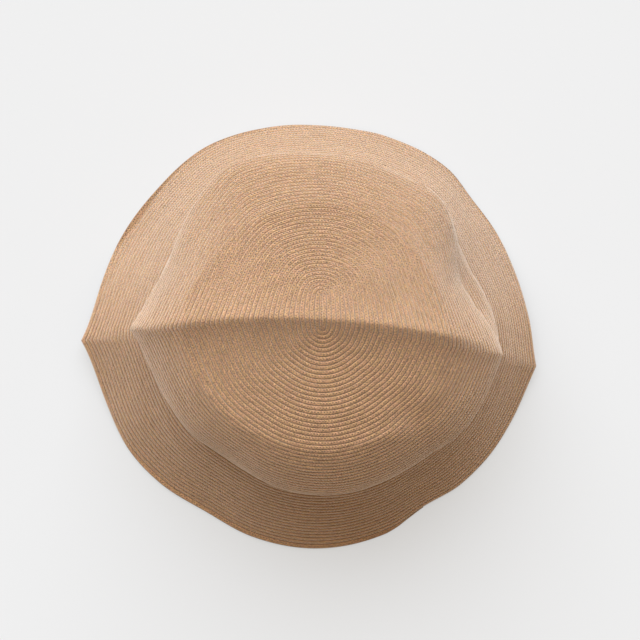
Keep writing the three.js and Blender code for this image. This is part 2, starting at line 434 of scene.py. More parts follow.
@dataclass(frozen=True)
class RibbonFinish:
    """Grosgrain: fine ribs across the ribbon, with a slight sheen."""

    yarn: Colour = (0.40, 0.26, 0.145, 1)
    deep: Colour = (0.20, 0.115, 0.055, 1)
    wefts: int = 40
    fuzz_scale: float = 1800.0
    rib_share: float = 0.6
    weft_share: float = 0.15
    fuzz_share: float = 0.25
    shade_edge: tuple[float, float] = (0.1, 0.8)
    sheen: float = 0.15
    specular: float = 0.35
    roughness: float = 0.55
    fuzz_roughness: float = 0.2
    relief: float = 0.12 * MM

    def material(self) -> bpy.types.Material:
        """Builds the nodes.

        Returns:
            The material.
        """
        kit = ShaderKit("grosgrain_ribbon")
        along, across = kit.uv()
        rib = (along * TURN).ripple()
        weft = (across * (TURN * self.wefts)).ripple()
        fuzz = kit.noise(self.fuzz_scale, 2.0)
        shade = rib * self.rib_share + weft * self.weft_share + fuzz * self.fuzz_share
        colour = kit.blended(shade.rising(*self.shade_edge), self.deep, self.yarn)
        constants = {"Sheen Weight": self.sheen, "Specular IOR Level": self.specular}
        roughness = self.roughness + fuzz * self.fuzz_roughness
        return kit.finished(colour, roughness, shade, self.relief, constants)


@dataclass(frozen=True)
class ThreadFinish:
    """Twisted polyester thread, in one of the hat's shades."""

    name: str
    yarn: Colour
    deep: Colour
    level_twist: float = 5200.0
    upright_twist: float = 9000.0
    twist_share: float = 0.6
    fuzz_scale: float = 2500.0
    fuzz_share: float = 0.4
    sheen: float = 0.1
    roughness: float = 0.5
    fuzz_roughness: float = 0.15
    relief: float = 0.05 * MM

    def material(self) -> bpy.types.Material:
        """Builds the nodes.

        Returns:
            The material.
        """
        kit = ShaderKit(self.name)
        x, y, z = kit.split(kit.place())
        twist = ((x + y) * self.level_twist + z * self.upright_twist).ripple()
        fuzz = kit.noise(self.fuzz_scale, 1.0)
        shade = twist * self.twist_share + fuzz * self.fuzz_share
        colour = kit.blended(shade, self.deep, self.yarn)
        roughness = self.roughness + fuzz * self.fuzz_roughness
        return kit.finished(colour, roughness, twist, self.relief, {"Sheen Weight": self.sheen})


@dataclass(frozen=True)
class TapeFinish:
    """Woven satin label tape, left blank, with a slightly darker selvedge."""

    satin: Colour = (0.80, 0.76, 0.68, 1)
    selvedge: Colour = (0.62, 0.56, 0.46, 1)
    selvedge_edge: tuple[float, float] = (0.86, 0.94)
    warps: int = 90
    wefts: int = 60
    warp_share: float = 0.6
    weft_share: float = 0.4
    weave_dark: float = 0.18
    sheen: float = 0.2
    specular: float = 0.5
    anisotropy: float = 0.4
    roughness: float = 0.42
    weave_roughness: float = 0.12
    relief: float = 0.06 * MM

    def material(self) -> bpy.types.Material:
        """Builds the nodes.

        Returns:
            The material.
        """
        kit = ShaderKit("woven_label_tape")
        along, across = kit.uv()
        warp = (along * (TURN * self.warps)).ripple()
        weft = (across * (TURN * self.wefts)).ripple()
        weave = warp * self.warp_share + weft * self.weft_share
        edge = across.off_middle().rising(*self.selvedge_edge)
        colour = kit.blended(edge, self.satin, self.selvedge)
        colour = kit.blended(weave * self.weave_dark, colour, self.selvedge)
        constants = {
            "Sheen Weight": self.sheen,
            "Specular IOR Level": self.specular,
            "Anisotropic": self.anisotropy,
        }
        roughness = self.roughness + weave * self.weave_roughness
        return kit.finished(colour, roughness, weave, self.relief, constants)


# ------------------------------------------------------------------------------------ the hat's surface


def between(angle: np.ndarray, at: float) -> np.ndarray:
    """The smaller angle between directions, in degrees."""
    half = FULL_TURN / 2
    return np.abs(np.mod(angle - at + half, FULL_TURN) - half)


@dataclass(frozen=True)
class Outline:
    """A smooth closed curve of a length by angle, through points in rising order from 0."""

    points: tuple[tuple[float, float], ...]

    def at(self, angle: np.ndarray) -> np.ndarray:
        """Reads the curve.

        Args:
            angle: Degrees anticlockwise from the right.

        Returns:
            The length at each angle.
        """
        angles, values = np.array(self.points, float).T
        before = np.roll(angles, 1) - np.where(np.arange(len(angles)) == 0, FULL_TURN, 0)
        after = np.append(angles[1:], angles[0] + FULL_TURN)
        slopes = (np.roll(values, -1) - np.roll(values, 1)) / (after - before)
        turned = np.mod(angle, FULL_TURN)
        first = np.searchsorted(angles, turned, side="right") - 1
        second = (first + 1) % len(angles)
        span = after[first] - angles[first]
        t = (turned - angles[first]) / span
        leave = t * (1 - t) ** 2 * span * slopes[first]
        arrive = t**2 * (t - 1) * span * slopes[second]
        straight = values[first] + (values[second] - values[first]) * t**2 * (3 - 2 * t)
        return straight + leave + arrive


@dataclass(frozen=True)
class Corner:
    """A pointed stretch of an outline, where the crease ends."""

    at: float
    reach: float
    spread: float


@dataclass(frozen=True)
class Swell:
    """A soft rise (or hollow, below 0) of the tip."""

    x: float
    y: float
    height: float
    spread: float


@dataclass(frozen=True)
class Wave:
    """A soft wave of the brim, at an angle and a share of the way out."""

    at: float
    out: float
    height: float
    turn: float
    width: float


@dataclass(frozen=True)
class HatSurface:
    """The outside of the hat, in millimetres from its middle.

    A place runs 0 to 1 over the tip, 1 to 2 over the shoulder, 2 to 3 down the side, 3 to 4 over the brim.
    """

    tip_height: float = 112
    tip_height_behind: float = 104
    tip_fall: float = 2
    tip_dome: float = 6
    tip_dome_radius: float = 66
    tip_half_width: float = 75
    tip_zone: float = 0.97
    junction_height: float = 44
    opening_radius: float = 91
    shoulder_power: float = 1.4
    crease_line: tuple[float, float, float] = (5.5, 0.055, 0.0011)
    crease_top: float = 122
    crease_back_spread: float = 36
    crease_front_spread: float = 12
    crease_rounding: float = 1.5
    dent_at: float = 11
    dent_depth: float = 9.5
    dent_spread: float = 16
    dent_bulge: float = 0.45
    side_bulge: float = 1.2
    origin: tuple[float, float] = (6.3, 4.3)
    side: Outline = Outline((
        (0, 100.6), (10, 96.4), (21, 90.3), (30, 90.7), (40, 96.5), (49, 99.8), (60, 97.8),
        (75, 97.4), (95, 98.8), (108, 102.3), (119, 105.3), (130, 101.4), (143, 96.7), (158, 93.2),
        (180, 98), (200, 95.8), (217, 94.2), (235, 89.3), (255, 92.4), (275, 94.1), (300, 93.2),
        (312, 94.2), (323, 98.6), (340, 100.6),
    ))
    brim: Outline = Outline((
        (0, 123.6), (14, 120.4), (30, 119), (40, 118.2), (52, 121), (70, 120), (85, 119.4),
        (105, 122.6), (122, 126.3), (140, 126.1), (160, 129), (180, 130.5), (200, 132),
        (212, 132.8), (224, 130.5), (238, 126.6), (252, 128.3), (270, 128.8), (290, 125.6), (300, 122.8),
        (312, 125.4), (340, 126.2),
    ))
    tip: Outline = Outline((
        (0, 69), (45, 67), (90, 68), (135, 69), (180, 75), (225, 69), (270, 66), (315, 70),
    ))
    shoulder_height: Outline = Outline(((0, 74), (90, 77), (180, 74), (270, 74)))
    edge_height: Outline = Outline((
        (0, 8), (25, 1.6), (45, 0.9), (65, 1.4), (90, 1.6), (115, 1.4), (135, 0.9), (155, 1.6),
        (180, 11), (205, 1.6), (225, 0.9), (247, 1.5), (270, 2), (293, 1.5), (315, 0.9), (335, 1.6),
    ))
    side_corners: tuple[Corner, ...] = (Corner(180, 9, 7), Corner(352, 5.5, 7))
    brim_corners: tuple[Corner, ...] = (Corner(183, 9.2, 7), Corner(350, 4.7, 6.5))
    swells: tuple[Swell, ...] = (Swell(52, -49, -3, 11), Swell(28, 26, 2, 16))
    waves: tuple[Wave, ...] = (Wave(205, 0.75, 3, 9, 0.3), Wave(150, 0.85, -2, 12, 0.3))
    wave_fade: float = 4
    brim_bow: float = 1.15
    start_middle: tuple[float, float] = (1, 9.5)
    start_reach: float = 9.5
    start_roundness: float = 0.25

    def pointed(self, outline: Outline, corners: Sequence[Corner], angle: np.ndarray) -> np.ndarray:
        """An outline with its corners.

        Args:
            outline: The smooth outline.
            corners: Its corners.
            angle: Degrees.

        Returns:
            The radius at each angle.
        """
        extra = sum(c.reach * np.exp(-between(angle, c.at) / c.spread) for c in corners)
        return outline.at(angle) + extra

    def side_radius(self, angle: np.ndarray) -> np.ndarray:
        """Radius of the crown's outline."""
        return self.pointed(self.side, self.side_corners, angle)

    def shoulder_radius(self, angle: np.ndarray) -> np.ndarray:
        """Radius at the shoulder, with the dent pushed in."""
        dent = np.exp(-((between(angle, self.dent_at) / self.dent_spread) ** 2))
        return self.side_radius(angle) - self.dent_depth * dent

    def junction_radius(self, angle: np.ndarray) -> np.ndarray:
        """Radius where the side meets the brim."""
        return (self.side_radius(angle) + self.opening_radius) / 2

    def over(self, x: np.ndarray, y: np.ndarray) -> np.ndarray:
        """Height of the tip over a point: the flat, the packing crease and the soft relief."""
        at_middle, lean, bend = self.crease_line
        away = y - (at_middle - lean * x - bend * x * x)
        flat = np.where(away > 0, self.tip_height_behind, self.tip_height)
        spread = np.where(away > 0, self.crease_back_spread, self.crease_front_spread)
        rounded = np.hypot(away, self.crease_rounding) - self.crease_rounding
        height = flat + (self.crease_top - flat) * np.exp(-rounded / spread)
        height = height - self.tip_fall * (x / self.tip_half_width) ** 2
        rounding = 1 - np.exp(-((np.hypot(x, y) / self.tip_dome_radius) ** 4))
        height = height - self.tip_dome * rounding / (1 - math.exp(-1))
        for swell in self.swells:
            far = np.hypot(x - swell.x, y - swell.y) / swell.spread
            height = height + swell.height * np.exp(-(far**2))
        return height

    def point(self, angle: np.ndarray, place: np.ndarray) -> np.ndarray:
        """Points of the outer surface.

        Args:
            angle: Degrees anticlockwise from the right.
            place: Where along the surface.

        Returns:
            The points, one to a row of the last axis.
        """
        angle, place = np.broadcast_arrays(np.asarray(angle, float), np.asarray(place, float))
        turn = np.radians(angle)
        cos, sin = np.cos(turn), np.sin(turn)
        tip, low = self.tip.at(angle), self.shoulder_height.at(angle)
        shoulder, junction = self.shoulder_radius(angle), self.junction_radius(angle)

        bow = sin / np.sqrt(sin**2 + self.start_roundness**2)
        share = np.clip(place, 0, 1)
        tip_x = self.start_middle[0] * (1 - share) + tip * cos * share
        tip_y = (self.start_middle[1] + self.start_reach * bow) * (1 - share) + tip * sin * share

        sweep = np.clip(place - 1, 0, 1) * (math.pi / 2)
        out = np.sin(sweep) ** (2 / self.shoulder_power)
        up = np.maximum(np.cos(sweep), 0) ** (2 / self.shoulder_power)
        shoulder_r = tip + (shoulder - tip) * out
        shoulder_z = low + (self.over(shoulder_r * cos, shoulder_r * sin) - low) * up

        down = np.clip(place - 2, 0, 1)
        stand = (self.side_radius(angle) - shoulder) * self.dent_bulge
        bulge = (self.side_bulge + stand) * np.sin(math.pi * down)
        side_r = shoulder + (junction - shoulder) * down + bulge
        side_z = low + (self.junction_height - low) * down

        beyond = place - 3
        edge = self.edge_height.at(angle)
        brim_r = junction + (self.pointed(self.brim, self.brim_corners, angle) - junction) * beyond
        slope = np.maximum(0, 1 - beyond) ** self.brim_bow
        brim_z = edge + (self.junction_height - edge) * slope
        for wave in self.waves:
            far = np.hypot(between(angle, wave.at) / wave.turn, (beyond - wave.out) / wave.width)
            fade = np.clip(beyond * self.wave_fade, 0, 1)
            brim_z = brim_z + wave.height * np.exp(-(far**2)) * fade

        zones = [place <= 1, place <= 2, place <= 3]
        r = np.select(zones[1:], [shoulder_r, side_r], brim_r)
        x = np.where(zones[0], tip_x, r * cos)
        y = np.where(zones[0], tip_y, r * sin)
        z = np.select(zones, [self.over(tip_x, tip_y), shoulder_z, side_z], brim_z)
        return np.stack([x, y, z], axis=-1)

    def inward(self, angle: np.ndarray, place: np.ndarray) -> np.ndarray:
        """Unit vectors into the hat, square to its surface.

        Args:
            angle: Degrees.
            place: Where along the surface.

        Returns:
            The vectors.
        """
        turn_step, place_step, flat_step, first_place = 0.6, 0.012, 0.4, 1e-4
        before = np.maximum(place - place_step, first_place)
        along = self.point(angle, place + place_step) - self.point(angle, before)
        round_it = self.point(angle + turn_step, place) - self.point(angle - turn_step, place)
        steep = np.cross(round_it, along)
        here = self.point(angle, place)
        x, y = here[..., 0], here[..., 1]
        slope_x = (self.over(x + flat_step, y) - self.over(x - flat_step, y)) / (2 * flat_step)
        slope_y = (self.over(x, y + flat_step) - self.over(x, y - flat_step)) / (2 * flat_step)
        flat = np.stack([slope_x, slope_y, -np.ones_like(x)], axis=-1)
        chosen = np.where((np.asarray(place) < self.tip_zone)[..., None], flat, steep)
        return chosen / np.linalg.norm(chosen, axis=-1, keepdims=True)

    def place_at_height(self, angle: np.ndarray, height: np.ndarray) -> np.ndarray:
        """Where on the shoulder or side the outer surface is at a height."""
        halvings = 30
        above, below = np.full(np.shape(angle), 1.0), np.full(np.shape(angle), 3.0)
        for _ in range(halvings):
            middle = (above + below) / 2
            higher = self.point(angle, middle)[..., 2] > height
            above = np.where(higher, middle, above)
            below = np.where(higher, below, middle)
        return above

    def wall(self, angle: np.ndarray, height: np.ndarray, depth: np.ndarray) -> np.ndarray:
        """Points inside the crown, a depth in from its outer surface."""
        place = self.place_at_height(angle, height)
        return self.point(angle, place) + self.inward(angle, place) * np.asarray(depth)[..., None]

    def framed(self, points: np.ndarray) -> np.ndarray:
        """Moves points from millimetres about the hat's middle to metres in the model's frame."""
        return (points + np.array([*self.origin, 0])) * MM


# ------------------------------------------------------------------------------------ the sewn spiral


@dataclass(frozen=True)
class Ripple:
    """A fine wave along the rows: its height, waves round the hat, turn from row to row, and shift."""

    height: float
    waves: int
    by_row: float
    shift: float

    def at(self, turn: np.ndarray, number: np.ndarray) -> np.ndarray:
        """Height of the wave at an angle in radians, on a row."""
        return self.height * np.sin(self.waves * turn + number * self.by_row + self.shift)


@dataclass
class BraidSpiral:
    """Rows of braid in a spiral: row t lies between t - 1 and t, plus the share of a turn."""

    surface: HatSurface
    rows_to_junction: float = 57.0
    rows_to_edge: float = 77.35
    last_row: int = 77
    end_angle: int = 300
    end_taper: float = 12.0
    columns: int = 360
    thickness: float = 1.75
    groove: float = 0.62
    inside_groove: float = 0.42
    closed_behind: float = 0.4
    closing: tuple[float, float] = (0, 30)
    stitch: float = 3.4
    thread_radius: float = 0.26
    thread_sides: int = 4
    thread_waist: float = 0.55
    table_clearance: float = 0.1
    slow_ripple: Ripple = Ripple(0.22, 5, 0.31, 0)
    slow_change: tuple[float, float] = (0.23, 1.3)
    quick_ripples: tuple[Ripple, Ripple] = (Ripple(0.10, 13, -0.9, 0.7), Ripple(0.07, 29, 2.1, 0))
    even_rows: float = 8
    outside_steps: tuple[float, ...] = (0.0, 0.07, 0.2, 0.5, 0.8, 0.93)
    inside_steps: tuple[float, ...] = (0.0, 0.5)
    reach_past_edge: float = 4.12
    steps_per_zone: int = 90
    places: np.ndarray = field(init=False)
    numbers: np.ndarray = field(init=False)
    lengths: np.ndarray = field(init=False)

    def __post_init__(self) -> None:
        """Measures the surface along every direction, and the braid along every row."""
        count = int(self.steps_per_zone * self.reach_past_edge) + 1
        zones = np.linspace(0, self.reach_past_edge, count)
        self.places = np.unique(np.append(zones, [1.0, 2.0, 3.0, 4.0]))
        angles = np.arange(self.columns + 1) * (FULL_TURN / self.columns)
        points = self.surface.point(angles[:, None], self.places[None, :])
        arcs = np.linalg.norm(np.diff(points, axis=1), axis=2).cumsum(axis=1)
        arcs = np.concatenate([np.zeros((len(angles), 1)), arcs], axis=1)
        at_junction = arcs[:, np.searchsorted(self.places, 3.0)][:, None]
        at_edge = arcs[:, np.searchsorted(self.places, 4.0)][:, None]
        brim_rows = self.rows_to_edge - self.rows_to_junction
        over_crown = arcs / at_junction * self.rows_to_junction
        over_brim = (arcs - at_junction) / (at_edge - at_junction) * brim_rows
        self.numbers = np.where(
            arcs <= at_junction, over_crown, self.rows_to_junction + over_brim
        )
        middles = np.array([self.line(row, angles, 0.5) for row in range(self.last_row + 1)])
        steps = np.linalg.norm(np.diff(middles, axis=1), axis=2)
        starts = np.concatenate([[0], steps.sum(axis=1).cumsum()[:-1]])
        within = np.concatenate([np.zeros((len(steps), 1)), steps.cumsum(axis=1)], axis=1)
        self.lengths = starts[:, None] + within

    def place(self, column: np.ndarray, number: np.ndarray) -> np.ndarray:
        """The place along the surface of a row number, column by column.

        Args:
            column: Whole columns.
            number: Row numbers.

        Returns:
            The places.
        """
        found = np.empty(np.shape(number))
        for i in np.unique(column):
            here = column == i
            found[here] = np.interp(number[here], self.numbers[i], self.places)
        return found

    def line(self, row: int, angles: np.ndarray, share: float) -> np.ndarray:
        """Points along one row, at a share of its width."""
        column = np.arange(len(angles))
        number = np.maximum(row - 1 + share + angles / FULL_TURN, 0)
        return self.surface.point(angles, self.place(column, number))

    def number(self, row: np.ndarray, share: np.ndarray, angle: np.ndarray) -> np.ndarray:
        """The row number of a share of a row, with the braid's start and end drawn to nothing."""
        ending = np.clip((self.end_angle - angle) / self.end_taper, 0, 1)
        width = np.where(row >= self.last_row, ending, 1.0)
        return np.maximum(row - 1 + angle / FULL_TURN + share * width, 0)

    def depth(self, share: np.ndarray, layer: np.ndarray) -> np.ndarray:
        """How deep the cloth's face is below the smooth surface, across a row."""
        side = np.abs(2 * share - 1)
        outside = self.groove * side**5
        inside = self.thickness - self.inside_groove * side**2
        return np.where(layer == Layer.OUTSIDE.value, outside, inside)

    def unevenness(self, angle: np.ndarray, number: np.ndarray) -> np.ndarray:
        """The small soft waves that hand-guided sewing leaves."""
        turn = np.radians(angle)
        by_row, shift = self.slow_change
        slow = self.slow_ripple.at(turn, number) * np.cos(number * by_row + shift)
        first, second = (ripple.at(turn, number) for ripple in self.quick_ripples)
        return (slow + (first + second)) * np.clip(number / self.even_rows, 0, 1)

    def side(self, first: int, last: int, shares: Sequence[float], layer: Layer) -> list[tuple]:
        """The points across several rows on one face of the cloth.

        Args:
            first: First row.
            last: Last row.
            shares: Where the points of a row are.
            layer: The face.

        Returns:
            Row, share of it and layer for each point.
        """
        rows = range(first, last + 1)
        return [*((row, share, layer.value) for row in rows for share in shares), (last, 1.0, layer.value)]

    def section(self, first: int, last: int, closed: bool) -> np.ndarray:
        """The order of points across the cloth: out over the outside, back along the inside.

        Args:
            first: First row.
            last: Last row.
            closed: Whether the inner end has a wall too.

        Returns:
            Rows, shares of them and layers, a line each.
        """
        outside = self.side(first, last, self.outside_steps, Layer.OUTSIDE)
        inside = self.side(first, last, self.inside_steps, Layer.INSIDE)
        loop = outside + inside[::-1]
        if closed:
            loop.append(loop[0])
        return np.array(loop, float)

    def closed_up(self, y: np.ndarray) -> np.ndarray:
        """How much of its depth the groove between rows keeps, less of it behind the crease."""
        start, stop = self.closing
        return 1 - self.closed_behind * np.clip((y - start) / (stop - start), 0, 1)

    def sector(self, first: int, last: int, start: int, stop: int, closed: bool) -> bpy.types.Mesh:
        """A stretch of several rows of braid, between two angles.

        Args:
            first: First row.
            last: Last row.
            start: First angle, in whole degrees.
            stop: Last angle.
            closed: Whether the inner end has a wall too.

        Returns:
            The mesh, open at its two angles.
        """
        loop = self.section(first, last, closed)
        mesh, column, step = gridded(stop - start, len(loop) - 1)
        row, share, layer = loop[step].T
        angle = (column + start).astype(float)
        number = self.number(row, share, angle)
        place = self.place(column + start, number)
        outer = self.surface.point(angle, place)
        outside = layer == Layer.OUTSIDE.value
        inset = self.depth(np.where(number > 0, share, 0.0), layer)
        inset = np.where(outside, inset * self.closed_up(outer[:, 1]), inset)
        inset = inset + self.unevenness(angle, number)
        points = outer + self.surface.inward(angle, place) * inset[:, None]
        lowest = np.where(outside, self.table_clearance + self.thickness, self.table_clearance)
        points[:, 2] = np.maximum(points[:, 2], lowest)
        set_points(mesh, self.surface.framed(points))
        self.lay_uv(mesh, loop, column, step, start)
        return mesh

    def thread(self, row: int, start: int, stop: int) -> bpy.types.Mesh:
        """The thread that joins a row to the next, inside, between two angles.

        Args:
            row: The row.
            start: First angle, in whole degrees.
            stop: Last angle.

        Returns:
            The mesh, open at its two ends.
        """
        mesh, column, step = gridded(stop - start, self.thread_sides)
        angle = (column + start).astype(float)
        number = self.number(np.full(len(angle), row), 1.0, angle)
        place = self.place(column + start, number)
        inward = self.surface.inward(angle, place)
        small, no_length = 0.02, 1e-9
        nearer = self.surface.point(angle, np.maximum(place - small, 0))
        outwards = self.surface.point(angle, place + small) - nearer
        outwards /= np.maximum(np.linalg.norm(outwards, axis=1, keepdims=True), no_length)
        turn = step * (TURN / self.thread_sides)
        waist = self.thread_radius * self.thread_waist
        radius = np.where(column % 2 == 0, self.thread_radius, waist)
        inset = self.thickness - self.inside_groove + self.unevenness(angle, number)
        inset = inset + radius * np.cos(turn)
        points = self.surface.point(angle, place) + inward * inset[:, None]
        points += outwards * (radius * np.sin(turn))[:, None]
        points[:, 2] = np.maximum(points[:, 2], self.table_clearance)
        set_points(mesh, self.surface.framed(points))
        return mesh

    def lay_uv(
        self, mesh: bpy.types.Mesh, loop: np.ndarray, column: np.ndarray, step: np.ndarray, start: int
    ) -> None:
        """Lays the UV map: stitches along the braid, and the share across its row.

        Args:
            mesh: The sector's mesh.
            loop: Its section.
            column: Each vertex's column.
            step: Each vertex's step in the section.
            start: The first column's angle.
        """
        corner = corners_of(mesh)
        faces = corner.reshape(-1, 4)
        low = np.repeat(step[faces].min(axis=1), 4)
        high = low + 1
        outside = loop[low, 2] == Layer.OUTSIDE.value
        row = np.where(outside, loop[low, 0], loop[high, 0]).astype(int)
        own_row, own_share = loop[step[corner], 0], loop[step[corner], 1]
        across = own_share + own_row - row
        along = self.lengths[row, column[corner] + start] / self.stitch
        set_uv(mesh, along, across)


def gridded(around: int, across: int) -> tuple[bpy.types.Mesh, np.ndarray, np.ndarray]:
    """A flat grid to bend into shape.

    Args:
        around: Faces one way.
        across: Faces the other way.

    Returns:
        The mesh, and each vertex's column and step.
    """
    shaped = bmesh.new()
    bmesh.ops.create_grid(shaped, x_segments=around, y_segments=across, size=1.0)
    mesh = bpy.data.meshes.new("gridded")
    shaped.to_mesh(mesh)
    shaped.free()
    grid = np.empty(len(mesh.vertices) * 3)
    mesh.vertices.foreach_get("co", grid)
    grid = grid.reshape(-1, 3)
    column = np.rint((grid[:, 0] + 1) / 2 * around).astype(int)
    step = np.rint((grid[:, 1] + 1) / 2 * across).astype(int)
    return mesh, column, step


def set_points(mesh: bpy.types.Mesh, points: np.ndarray) -> None:
    """Moves a mesh's vertices to new points."""
    mesh.vertices.foreach_set("co", points.ravel())


def set_uv(mesh: bpy.types.Mesh, u: np.ndarray, v: np.ndarray) -> None:
    """Lays a UV map from two numbers for each face corner."""
    layer = mesh.uv_layers.new(name=UV_NAME)
    layer.data.foreach_set("uv", np.stack([u, v], axis=1).ravel())


def corners_of(mesh: bpy.types.Mesh) -> np.ndarray:
    """The vertex at each face corner."""
    corner = np.empty(len(mesh.loops), int)
    mesh.loops.foreach_get("vertex_index", corner)
    return corner


def paint_uv(mesh: bpy.types.Mesh, u: np.ndarray, v: np.ndarray) -> None:
    """Lays a UV map from two numbers for each vertex."""
    corner = corners_of(mesh)
    set_uv(mesh, u[corner], v[corner])


def placed(name: str, shaped: bmesh.types.BMesh) -> bpy.types.Object:
    """Puts a finished shape into the scene.

    Args:
        name: The object's name.
        shaped: The shape, which is freed.

    Returns:
        The object.
    """
    mesh = bpy.data.meshes.new(name)
    shaped.to_mesh(mesh)
    shaped.free()
    made = bpy.data.objects.new(name, mesh)
    bpy.context.scene.collection.objects.link(made)
    return made


def welded(name: str, parts: Sequence[bpy.types.Mesh]) -> bpy.types.Object:
    """Joins meshes into one closed piece.

    Args:
        name: The piece's name.
        parts: The meshes, which meet at shared points.

    Returns:
        The piece.
    """
    shaped = bmesh.new()
    for part in parts:
        shaped.from_mesh(part)
    bmesh.ops.remove_doubles(shaped, verts=shaped.verts, dist=WELD)
    bmesh.ops.dissolve_degenerate(shaped, edges=shaped.edges, dist=WELD)
    open_edges = [e for e in shaped.edges if e.is_boundary]
    for face in shaped.faces:
        face.smooth = True
    caps = bmesh.ops.holes_fill(shaped, edges=open_edges, sides=0)["faces"]
    caps = bmesh.ops.triangulate(shaped, faces=caps)["faces"]
    for cap in caps:
        cap.smooth = False
    for edge in open_edges:
        if edge.is_valid:
            edge.smooth = False
    bmesh.ops.recalc_face_normals(shaped, faces=shaped.faces)
    for part in parts:
        bpy.data.meshes.remove(part)
    return placed(name, shaped)


def dress(piece: bpy.types.Object, material: bpy.types.Material) -> None:
    """Gives a piece its finish.

    Args:
        piece: The piece.
        material: Its material.
    """
    piece.data.materials.clear()
    piece.data.materials.append(material)
    log.info("%s: %d faces, %s", piece.name, len(piece.data.polygons), material.name)


# ------------------------------------------------------------------------------------ crown and brim


@dataclass
class Crown:
    """The tip and the side of the crown."""

    spiral: BraidSpiral
    tip_rows: tuple[int, int] = (0, 27)
    side_rows: tuple[int, int] = (28, 56)

    def build(self, braid: bpy.types.Material, thread: bpy.types.Material) -> None:
        """Makes both zones, and the thread inside them.

        Args:
            braid: The braid's material.
            thread: The sewing thread's material.
        """
        zones = (("crown_tip", self.tip_rows, False), ("crown_side", self.side_rows, True))
        for node, rows, closed in zones:
            part = self.spiral.sector(*rows, 0, FULL_TURN, closed=closed)
            piece = welded(f"{node}_braid", [part])
            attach(piece, Body.HAT.value)
            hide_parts(node)
            dress(piece, braid)
        turns = [self.spiral.thread(row, 0, FULL_TURN) for row in range(1, self.side_rows[1] + 1)]
        seam = welded("crown_spiral_thread", turns)
        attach(seam, Body.HAT.value)
        dress(seam, thread)


@dataclass(frozen=True)
class TurnUp:
    """A quarter of the brim, whose outer part turns up about a fold line."""

    name: str
    body: Body
    fold: float
    direction: tuple[int, int]
    sectors: tuple[tuple[int, int], ...]


@dataclass
class Brim:
    """The brim, in four quarters, one for each turn-up."""

    spiral: BraidSpiral
    first_row: int = 57
    softness: float = 8
    quarters: tuple[TurnUp, ...] = (
        TurnUp("brim_front", Body.FRONT, 101, (0, -1), ((225, 300), (300, 315))),
        TurnUp("brim_back", Body.BACK, 103, (0, 1), ((45, 135),)),
        TurnUp("brim_left", Body.LEFT, 107, (-1, 0), ((135, 225),)),
        TurnUp("brim_right", Body.RIGHT, 105, (1, 0), ((315, 360), (0, 45))),
    )

    def build(self, braid: bpy.types.Material, thread: bpy.types.Material) -> None:
        """Makes the four quarters, and the thread inside them.

        Args:
            braid: The braid's material.
            thread: The sewing thread's material.
        """
        last, end = self.spiral.last_row, self.spiral.end_angle
        for quarter in self.quarters:
            parts, lines = [], []
            for start, stop in quarter.sectors:
                outer_row = last if start < end else last - 1
                parts.append(self.spiral.sector(self.first_row, outer_row, start, stop, closed=True))
                lines += [self.spiral.thread(row, start, stop) for row in range(self.first_row, last)]
            piece = welded(f"{quarter.name}_braid", parts)
            seam = welded(f"{quarter.name}_spiral_thread", lines)
            start = self.on_fold(quarter, quarter.fold - self.softness)
            stop = self.on_fold(quarter, quarter.fold + self.softness)
            for cloth in (piece, seam):
                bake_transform(cloth)
            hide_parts(quarter.name, "brim_root")
            dress(piece, braid)
            dress(seam, thread)

    def on_fold(self, quarter: TurnUp, distance: float) -> tuple[float, float, float]:
        """A point this far out from the hat's middle, towards a quarter, in the model's frame."""
        x, y = (d * distance + o for d, o in zip(quarter.direction, self.spiral.surface.origin))
        return (x * MM, y * MM, 0.0)


# ------------------------------------------------------------------------------------ sweatband and labels


@dataclass
class WallCloth:
    """Thin cloth that lies against the inside of the crown's wall."""

    surface: HatSurface
    weave_pitch: float = 1.0
    raised: float = 0.14
    thin_edge: float = 0.35
    section_shares: tuple[float, ...] = (0.0, 0.03, 0.5, 0.97, 1.0)

    def strip(
        self, name: str, at: float, width: float, low: float, high: float, depths: tuple[float, float]
    ) -> bpy.types.Object:
        """A strip of cloth, ribbed along its length.

        Args:
            name: The piece's name.
            at: The angle of its middle.
            width: Its length along the wall.
            low: Its lower edge.
            high: Its upper edge.
            depths: How far in from the crown's outside its two faces lie.

        Returns:
            The piece.
        """
        span = min(math.degrees(width / self.surface.opening_radius), FULL_TURN)
        columns = 2 * round(width / self.weave_pitch)
        angles = at + np.linspace(-span / 2, span / 2, columns + 1)
        section = self.section(low, high, depths)
        mesh, column, step = gridded(columns, len(section) - 1)
        height, depth, share = section[step].T
        rib = np.where((column % 2 == 1) & (depth > min(depths)), self.raised, 0.0)
        points = self.surface.wall(angles[column], height, depth + rib)
        set_points(mesh, self.surface.framed(points))
        paint_uv(mesh, column / 2, share)
        return welded(name, [mesh])

    def section(self, low: float, high: float, depths: tuple[float, float]) -> np.ndarray:
        """Heights, depths and shares of the width, once round the strip's thickness.

        Args:
            low: Lower edge.
            high: Upper edge.
            depths: Depths of the two faces.

        Returns:
            A line for each point, the last the same as the first.
        """
        outer, inner = depths
        edge = inner - (inner - outer) * self.thin_edge
        back = [(share, outer) for share in self.section_shares]
        front = [(share, edge if share in (0.0, 1.0) else inner) for share, _ in reversed(back)]
        loop = [*back, *front, back[0]]
        return np.array([(low + (high - low) * share, depth, share) for share, depth in loop])


